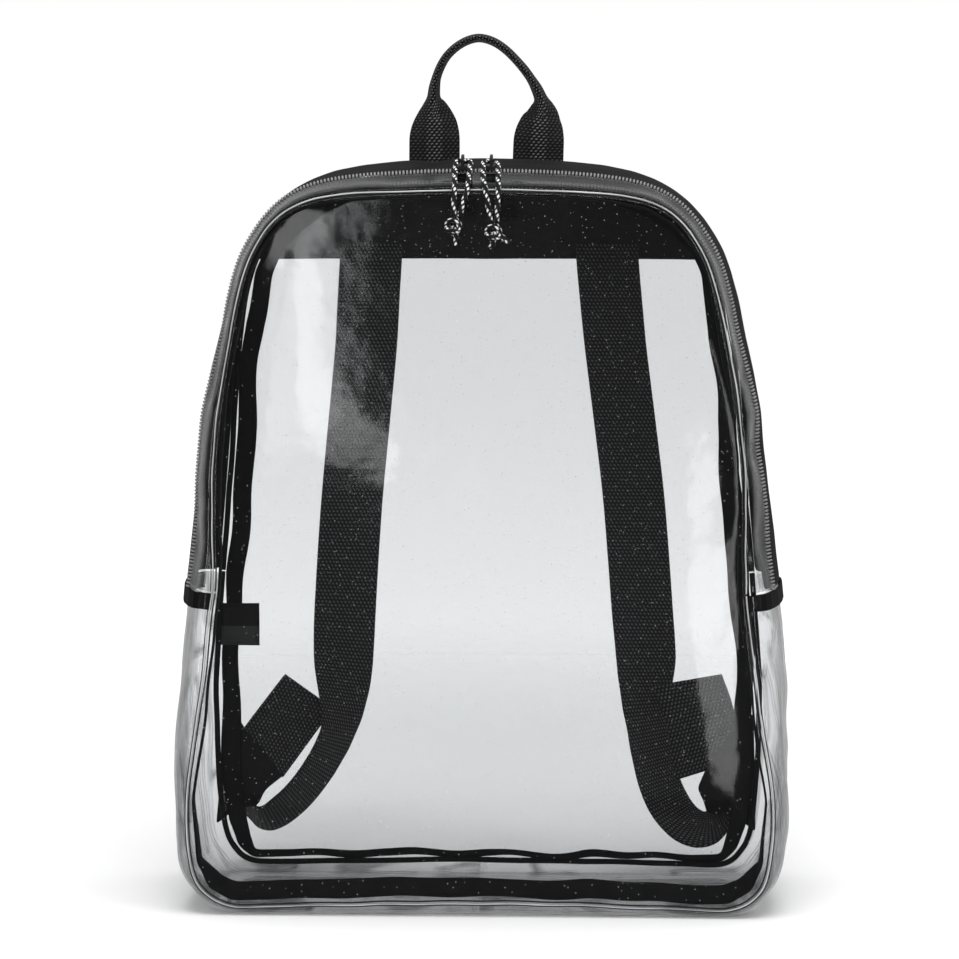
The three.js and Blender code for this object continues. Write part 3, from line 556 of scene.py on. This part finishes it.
def knot(side):
    middle, tails = KNOTS[side]
    middle = in_frame(middle)
    wound = []
    for i in range(KNOT_STEPS + 1):
        t = i / KNOT_STEPS
        turn = 2 * math.pi * KNOT_TURNS * t
        wide = KNOT_WIDE + 0.35 * math.sin(3 * turn)
        tilt = Matrix.Rotation(1.1 * t + 0.25, 3, "Y") @ Matrix.Rotation(0.7 * math.sin(5 * t), 3, "Z")
        spot = Vector((wide * math.cos(turn), 1.5 * math.sin(2 * turn + 0.6), wide * math.sin(turn)))
        wound.append(middle + tilt @ spot * MM)
    bm = bmesh.new()
    rope(bm, wound, CORD_THICK * 0.92, 10)
    for tail in tails:
        tip = in_frame(tail)
        bend = (middle + tip) / 2 + Vector((0.8, 0, 0)) * MM
        rope(bm, smooth_line([middle, bend, tip], 10)[0], CORD_THICK, 10)
    bmesh.ops.recalc_face_normals(bm, faces=bm.faces)
    return piece(bm, f"pull_knot_{side}", CORD_FINISH, [f"zip_knot_{side}"])


for side, (path, long) in ROUTES.items():
    bm = bmesh.new()
    rope(bm, path, CORD_THICK, 12)
    bmesh.ops.recalc_face_normals(bm, faces=bm.faces)
    pull = piece(bm, f"pull_cord_{side}", CORD_FINISH, [f"zip_cord_{side}"])
    knot(side)  # fmt: skip
    print(f"pull_cord_{side}: {long * 1000:.0f} mm long")

# %% [markdown]
# ## Clear walls
# The front and back panels and the side walls start from the CAD shapes. They get many more
# faces, and then the shallow waves that vinyl keeps from being folded and sewn: long ones
# everywhere, short puckers close to the seams.


# %% Clear panels
SEAM_CLOSE = 1.2 * MM  # verts this close to the seam's plane are the rim
STIFF_NEAR, PUCKER_NEAR = 10 * MM, 14 * MM  # how far in from the rim


def waves(point, long_high, short_high, edge_near):
    """How far vinyl stands off its flat shape at a point."""
    long_wave = noise.noise(Vector((point.x * 9, point.y * 4, point.z * 7)))
    short_wave = noise.noise(Vector((point.x * 30 + 7, point.y * 30, point.z * 30)))
    return long_high * long_wave + short_high * short_wave * edge_near


def clear_panel(node, name, long_high, short_high, seam_side):
    """A front or back sheet. Its rim stays where it is sewn."""
    bm = merged(node)
    finer(bm, 7 * MM)
    seam = seam_side(v.co.y for v in bm.verts)
    rim = [v.co.copy() for v in bm.verts if abs(v.co.y - seam) < SEAM_CLOSE]
    tree = kdtree.KDTree(len(rim))
    for i, place in enumerate(rim):
        tree.insert(place, i)
    tree.balance()
    for v in bm.verts:
        away = tree.find(v.co)[2]
        near = math.exp(-away / PUCKER_NEAR)
        v.co.y += min(1, away / STIFF_NEAR) * waves(v.co, long_high, short_high, near)
    return piece(bm, name, VINYL, [node], subdivide=1)


clear_panel("front_panel", "front_sheet", 1.6 * MM, 1.6 * MM, max)
clear_panel("back_panel", "back_sheet", 0.8 * MM, 0.3 * MM, min)

# %% [markdown]
# The wall bends round the bag, so it keeps more of the folds that it was packed in. Puckers go
# in along its face, never out, and a few sharp dents are pinched where the photograph has
# them. An attribute, "run", unrolls the wall, so that the shader's fold lines, dark lines of
# painted shade, cross it.

# %% Side walls
BAG_MIDDLE = 0.18  # height of the point that "out" is measured from
# Pinched dents: where each is, seen from the front, and how deep, all in millimetres
PINCHES = [
    ((-25, 367), 4.5), ((124, 266), 4.5), ((128, 228), 4), ((119, 168), 3),
    ((-128, 246), 2.6), ((-126, 210), 2.6), ((-118, 298), 2.4), ((96, 335), 2.8),
]  # fmt: skip
PINCH_WIDE = 4 * MM


def wall(node, name, material, high, size=4.5 * MM):
    """A side wall, with puckers pushed in along its face."""
    bm = merged(node)
    finer(bm, size)
    layer = bm.verts.layers.float_vector.new("run")
    lo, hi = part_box(node)
    for v in bm.verts:
        edge = min(v.co.y - lo.y, hi.y - v.co.y)
        free = min(1, max(0, edge - 1 * MM) / (6 * MM)) * min(1, v.co.z / (12 * MM))
        out = Vector((v.co.x, 0, v.co.z - BAG_MIDDLE))
        round_bag = math.atan2(out.x, out.z)
        v[layer] = Vector((round_bag * 3.2, v.co.y * 75, math.cos(round_bag * 0.5)))
        out.normalize()
        short = noise.noise(Vector((v.co.x * 16, v.co.y * 26, v.co.z * 40)))
        long = noise.noise(Vector((v.co.x * 5 + 3, v.co.y * 8, v.co.z * 11)))
        v.co -= out * (free * high * (0.6 * abs(short) + 0.6 * abs(long)))
        for (x, z), deep in PINCHES:
            gone = math.hypot(v.co.x - x * MM, v.co.z - z * MM) / PINCH_WIDE
            v.co -= out * (deep * MM * free * math.exp(-gone * gone))
    return piece(bm, name, material, [node], subdivide=1)


wall("lower_gusset", "lower_wall", VINYL_SIDE, 5 * MM)
wall("front_zip_strip", "zip_edge", VINYL_SIDE, 2.4 * MM, 3 * MM)
wall("rear_zip_band", "rear_wall", CLOTH, 1.4 * MM)

# %% [markdown]
# ## Seam tapes, yoke and tabs
# The cloth tapes over the raw seams ripple with the vinyl. The yoke and the corner tabs are
# flat cloth.


# %% Cloth pieces
CRUMPLE = 45  # noise steps to a metre
ASIDE, ALONG = Vector((9, 0, 0)), Vector((0, 9, 0))


def cloth(node, name, high, size=4 * MM, subdivide=1, ripple=0.0, finish=CLOTH):
    """A cloth piece, crumpled by so much, and drawn in and out in slow ripples."""
    bm = merged(node)
    finer(bm, size)
    middle = Vector((0, 0, BAG_MIDDLE))
    for v in bm.verts:
        out = v.co - middle
        out.y = 0
        slow = noise.noise(Vector((v.co.x * 38, 0, v.co.z * 30)))
        v.co -= out.normalized() * ripple * (0.35 + slow)
        spot = v.co * CRUMPLE
        push = [noise.noise(place) for place in (spot, spot + ASIDE, spot + ALONG)]
        v.co += Vector(push) * high
    return piece(bm, name, finish, [node], subdivide=subdivide)


cloth("front_binding", "front_tape", 0.3 * MM, ripple=1.6 * MM)
cloth("back_binding", "back_tape", 0.4 * MM, ripple=3 * MM)
cloth("yoke", "yoke_cloth", 0.1 * MM, 8 * MM)
cloth("strap_tab_left", "corner_tab_left", 0.15 * MM)
cloth("strap_tab_right", "corner_tab_right", 0.15 * MM)

# %% Join tapes, tag and zipper tape
SEAM_REACH, DRAWN_IN, AHEAD = 6.5 * MM, 1.2 * MM, 1.1 * MM


def join_tape(node, name, inward):
    """The tape round a side join, drawn in flush and carried on to the front seam."""
    bm = merged(node)
    front = min(v.co.y for v in bm.verts)
    for v in bm.verts:
        at_front = v.co.y < front + 0.8 * MM
        aside = (SEAM_REACH if at_front else DRAWN_IN) * inward
        v.co += Vector((aside, -AHEAD if at_front else 0, 0))
    finer(bm, 4 * MM)
    return piece(bm, name, CLOTH, [node], smooth=False)


join_tape("join_band_left", "join_tape_left", 1)
join_tape("join_band_right", "join_tape_right", -1)
cloth("side_tag", "plain_tag", 0.2 * MM, subdivide=0, finish=TAG_CLOTH)
cloth("zipper_tape", "zip_tape", 0.0)

# %% [markdown]
# ## Webs
# A web is a flat ribbon with rounded selvages. The CAD ribbon's rows give its route; a smooth
# curve through them gives many more rows, and each row gets a full cross-section.


# %% Routes read from the CAD ribbons
FLAT, SQUARE = 0.06, 0.7  # radians: faces of one end, and the turn round its rim


def end_caps(bm):
    """The flat ends of a ribbon: groups of level faces with a sharp rim all round."""
    caps, left = [], set(bm.faces)
    while left:
        found = {left.pop()}
        fresh = set(found)
        while fresh:
            joined = [e for f in fresh for e in f.edges if e.calc_face_angle() < FLAT]
            fresh = {g for e in joined for g in e.link_faces} - found
            found |= fresh
        left -= found
        rim = [e for f in found for e in f.edges if not set(e.link_faces) <= found]
        if all(e.calc_face_angle() > SQUARE for e in rim):
            caps.append(found)
    return caps


def rings_from(cap):
    """The ribbon's rings of verts, each one edge further from its end."""
    level = {v for f in cap for v in f.verts}
    seen, rings = set(), []
    while level:
        seen |= level
        rings.append(level)
        level = {e.other_vert(v) for v in level for e in v.link_edges} - seen
    return rings


def middles_of(ring):
    """The points half way through the ribbon, between verts that face each other."""
    pairs = [(a, b) for a in ring for b in ring if a.index < b.index]
    used, row = set(), []
    for a, b in sorted(pairs, key=lambda p: ((p[0].co - p[1].co).length, p[0].index, p[1].index)):
        if a not in used and b not in used:
            used |= {a, b}
            row.append((a.co + b.co) / 2)
    return row


def courses(node, toward):
    """The rows of a ribbon, from its end that lies that way: points across its middle layer."""
    bm = merged(node, quads=False)
    toward = Vector(toward)
    cap = max(end_caps(bm), key=lambda faces: next(iter(faces)).calc_center_median().dot(toward))
    rows, across = [], None
    for ring in rings_from(cap):
        row = middles_of(ring)
        if across is None:
            across = max((p - q for p in row for q in row), key=lambda gap: gap.length)
        row.sort(key=lambda p: p.dot(across))
        across = row[-1] - row[0]
        rows.append(row)
    bm.free()
    print(f"{node}: {len(rows)} rows of {len(rows[0])}")
    return rows


WEB_ROWS = {
    node: courses(node, toward)
    for node, toward in (
        ("strap_left", (0, 0, 1)),
        ("strap_right", (0, 0, 1)),
        ("anchor_web_left", (0.6, 0, 0.8)),
        ("anchor_web_right", (-0.6, 0, 0.8)),
        ("handle", (-1, 0, -10)),
    )
}

# %% [markdown]
# A web's cross-section is flat with round selvages: its thickness stays the same almost to
# the edge and then falls off steeply, which a high power of the way across gives.

# %% Webs
WEB_THICK = 1.5 * MM
FINER_BY, ACROSS, SELVAGE = 4, 12, 14


def cross_section(line, behind, ahead, along, thick):
    """A ring round a row of points between two others, with its weave coordinates."""
    widths = [0.0]
    for a, b in zip(line, line[1:]):
        widths.append(widths[-1] + (b - a).length)
    section = []
    for side in (1, -1):
        for j in range(ACROSS + 1):
            if side < 0 and j in (0, ACROSS):
                continue
            s = -math.cos(math.pi * j / ACROSS) * side
            want = (s + 1) / 2 * widths[-1]
            k = max(m for m in range(len(widths) - 1) if widths[m] <= want + 1e-9)
            t = (want - widths[k]) / (widths[k + 1] - widths[k])
            run = ahead[k].lerp(ahead[k + 1], t) - behind[k].lerp(behind[k + 1], t)
            normal = run.cross(line[k + 1] - line[k]).normalized()
            rise = side * thick / 2 * math.sqrt(max(0, 1 - abs(s) ** SELVAGE))
            place = line[k].lerp(line[k + 1], t) + normal * rise
            section.append((place, Vector((want - widths[-1] / 2, along, side))))
    return section


def ribbon(node, name, material):
    """A web with rounded edges that stands for the CAD ribbon."""
    columns = [between(column, FINER_BY) for column in zip(*WEB_ROWS[node])]
    lines = list(zip(*columns))
    middles = [sum(line, Vector()) / len(line) for line in lines]
    along, sections = 0.0, []
    for i, line in enumerate(lines):
        along += (middles[i] - middles[i - 1]).length if i else 0
        behind, ahead = lines[max(i - 1, 0)], lines[min(i + 1, len(lines) - 1)]
        sections.append(cross_section(line, behind, ahead, along, WEB_THICK))
    bm = bmesh.new()
    draw_out(bm, sections)
    bmesh.ops.recalc_face_normals(bm, faces=bm.faces)
    print(f"{name}: web {along / MM:.0f} mm long")
    return piece(bm, name, material, [node])


for node in WEB_ROWS:
    ribbon(node, f"{node}_web", HANDLE_WEB if node == "handle" else STRAP_WEB)

# %% [markdown]
# ## Seam lines
# Where the front sheet is folded over the side wall and sewn, the fold's highlight is painted as
# a pale bead beside a black line of stitching: a painted highlight. Both wander a little, as the
# sheet does. The back seam's raw edges are black.


# %% Bead finish, a painted highlight
def plain_gloss(name, colour):
    finish = Finish(name)
    cloud = finish.node("ShaderNodeTexNoise", {"Vector": finish.coordinates(), "Scale": 40})
    shade = finish.blend(cloud, [c * 0.25 for c in colour], colour)
    return finish.output(finish.principled(Base_Color=shade, Roughness=0.2))


PAINTED_HIGHLIGHT_BEAD = plain_gloss("folded_edge_painted_highlight", (0.85, 0.86, 0.87))

# %% Seam lines
SEAM_STEPS, SEAM_SIDES = 420, 6
FRONT, BACK = min, max  # of the y of a wall's edges


def edge_line(node, toward, nearest):
    """The front or back edge of a wall."""
    rows = courses(node, toward)
    last = nearest((0, -1), key=lambda k: rows[0][k].y)
    return [row[last] for row in rows]


def seam_line(bm, line, out, ahead, thick, high):
    """A thread beside the line, so far out and ahead of it, that wanders by so much."""
    middle = Vector((0, 0, BAG_MIDDLE))
    points = []
    for point in smooth_line(line, SEAM_STEPS)[0]:
        away = point - middle
        away.y = 0
        spot = point * 40
        shift = Vector((noise.noise(spot), 0, noise.noise(spot + Vector((5, 0, 0)))))
        points.append(point + shift * high + away.normalized() * out + Vector((0, -ahead, 0)))
    rope(bm, points, thick, SEAM_SIDES)


DOWN_RIGHT, UP_RIGHT = (1, 0, -1), (1, 0, 1)  # the end that each line is read from
back_lines = [
    edge_line("rear_zip_band", DOWN_RIGHT, BACK),
    edge_line("lower_gusset", UP_RIGHT, BACK),
]
front_lines = [
    edge_line("front_zip_strip", DOWN_RIGHT, FRONT),
    edge_line("lower_gusset", UP_RIGHT, FRONT),
]
for name, finish, lines, out, ahead, thick, high in (
    ("back_seam_edge", CLOTH, back_lines, -1.7 * MM, 1.6 * MM, 2.9 * MM, 0.5 * MM),
    ("seam_stitches", THREAD, front_lines, -1.4 * MM, 1.9 * MM, 0.8 * MM, 0.9 * MM),
    ("seam_bead_painted_highlight", PAINTED_HIGHLIGHT_BEAD, front_lines, 0.2 * MM, 1.1 * MM, 0.8 * MM, 0.9 * MM),
    ("seam_edge", THREAD, front_lines, 1.4 * MM, -0.9 * MM, 0.5 * MM, 0.9 * MM),
):
    bm = bmesh.new()
    for line in lines:
        seam_line(bm, line, out, ahead, thick, high)
    bmesh.ops.recalc_face_normals(bm, faces=bm.faces)
    piece(bm, name, finish)

# %% [markdown]
# ## Zipper
# The coil is a close row of nylon turns on its tape, and the sliders run on it.

# %% Zipper coil
COIL_TURNS = 340
TURN_ROUND, TURN_HIGH = 0.6 * MM, 1.9  # the wire's radius, and how far it is pressed upright
rows = courses("zipper_coil", DOWN_RIGHT)
middles, coil_long = smooth_line([sum(r, Vector()) / len(r) for r in rows], COIL_TURNS)
edges_a = smooth_line([r[0] for r in rows], COIL_TURNS)[0]
edges_b = smooth_line([r[-1] for r in rows], COIL_TURNS)[0]
lay = Matrix.Rotation(math.pi / 2, 4, "Y")
press = Matrix.Diagonal((1, 1, TURN_HIGH, 1))
bm = bmesh.new()
for i, (a, b) in enumerate(zip(edges_a, edges_b)):
    run = middles[min(i + 1, COIL_TURNS)] - middles[max(i - 1, 0)]
    x = (b - a).normalized()
    z = x.cross(run).normalized()
    turn = Matrix((x, z.cross(x), z)).transposed().to_4x4()
    turn.translation = (a + b) / 2
    size = {"radius1": TURN_ROUND, "radius2": TURN_ROUND, "depth": (b - a).length * 0.98}
    made = bmesh.ops.create_cone(bm, segments=8, cap_ends=True, **size)
    bmesh.ops.transform(bm, matrix=turn @ press @ lay, verts=made["verts"])
piece(bm, "coil_turns", COIL_PAINTED_LIGHT, ["zipper_coil"])
print(f"coil: {coil_long / MM:.0f} mm long")

# %% Sliders
EDGE_ROUND = 0.18 * MM
for side in ("left", "right"):
    bm = merged(f"zip_slider_{side}")
    way = {"offset": EDGE_ROUND, "offset_type": "OFFSET", "segments": 2, "profile": 0.5}
    bmesh.ops.bevel(bm, geom=bm.edges, affect="EDGES", material=-1, **way)
    piece(bm, f"slider_{side}", PAINT, [f"zip_slider_{side}"], smooth=False)

# %% [markdown]
# ## Floor and light
# The bag stands on a white floor in a soft white room. Behind the camera the room is darker,
# so that the clear front isn't veiled by its own reflection, and one tall soft lamp is
# mirrored in the front as a slanting patch.

# %% Floor
FLOOR_WIDE, FLOOR_LOW = 20, -0.2 * MM
FADE_FROM, FADE_TO = 0.35, 1.1  # metres from the bag
bm = bmesh.new()
bmesh.ops.create_circle(bm, cap_ends=True, segments=64, radius=FLOOR_WIDE)
bmesh.ops.translate(bm, vec=(0, 0, FLOOR_LOW), verts=bm.verts)
floor_mesh = bpy.data.meshes.new("floor")
bm.to_mesh(floor_mesh)
bm.free()
floor = bpy.data.objects.new("floor", floor_mesh)
bpy.context.scene.collection.objects.link(floor)
white = Finish("floor_white")
flat = white.principled(Base_Color=(0.95, 0.95, 0.95, 1), Roughness=0.9)
clear = white.node("ShaderNodeBsdfTransparent")
away = white.node("ShaderNodeVectorMath", {0: white.coordinates()}, out="Value", operation="LENGTH")
fade = white.ramp(away, FADE_FROM, FADE_TO)
faded = white.node("ShaderNodeMixShader", {0: fade, 1: flat, 2: clear})
floor_mesh.materials.append(white.output(faded))
floor.visible_glossy = False

# %% Room
room = Finish("room", bpy.data.worlds.new("room"))
_, depth, height = room.split(room.node("ShaderNodeTexCoord", out="Generated"))
# What lights the bag and shows in it: dark behind the camera, brighter behind the bag
felt = {"Color": (1, 1, 1, 1), "Strength": room.ramp(depth, -0.3, 0.9, 0.07, 0.45)}
# What the camera sees: white, a little brighter low down where the floor fades out
seen = {"Color": (1, 1, 1, 1), "Strength": room.ramp(height, -0.19, -0.05, 1.32, 1.0)}
sight = room.node("ShaderNodeLightPath", out="Is Camera Ray")
lights = [room.node("ShaderNodeBackground", light) for light in (felt, seen)]
mix = room.node("ShaderNodeMixShader", {0: sight, 1: lights[0], 2: lights[1]})
bpy.context.scene.world = room.output(mix, "ShaderNodeOutputWorld")


# %% Lamps
def lamp(name, place, aim, size, bright, roll=0.0, mirrored=True):
    """A soft lamp of a given brightness, seen in reflections or only felt."""
    light = bpy.data.lights.new(name, "AREA")
    light.shape = "RECTANGLE"
    light.size, light.size_y = size
    light.energy = bright * math.pi * size[0] * size[1]
    made = bpy.data.objects.new(name, light)
    bpy.context.scene.collection.objects.link(made)
    made.location = place
    made.rotation_mode = "QUATERNION"
    turn = (Vector(aim) - Vector(place)).to_track_quat("-Z", "Y")
    made.rotation_quaternion = turn @ Matrix.Rotation(roll, 3, "Z").to_quaternion()
    made.visible_camera = False
    made.visible_glossy = mirrored
    print(f"{name}: {light.energy:.1f} W")


lamp("key_above", (0.1, -0.4, 2.5), (0, 0, 0), (2, 2), 5.4, mirrored=False)
lamp("fill_front", (0, -2.6, 1.3), (0, 0, 0.2), (2, 1.4), 3.6, mirrored=False)
lamp("patch_lamp", (-0.44, -2.6, 0.36), (-0.07, 0, 0.27), (0.15, 0.85), 1.7, roll=0.42)
lamp("right_strip", (1.6, -1.2, 0.7), (0, 0, 0.2), (0.22, 1.4), 3.5)
lamp("left_strip", (-1.7, -1.1, 0.5), (0, 0, 0.2), (0.18, 1.2), 3.0)
lamp("low_patch", (0.62, -2.3, -0.12), (0.1, 0, 0.1), (0.16, 0.5), 1.5, roll=-0.5)
lamp("top_strip", (0.1, -1.1, 1.6), (0, 0, 0.3), (1.8, 0.14), 4.0)
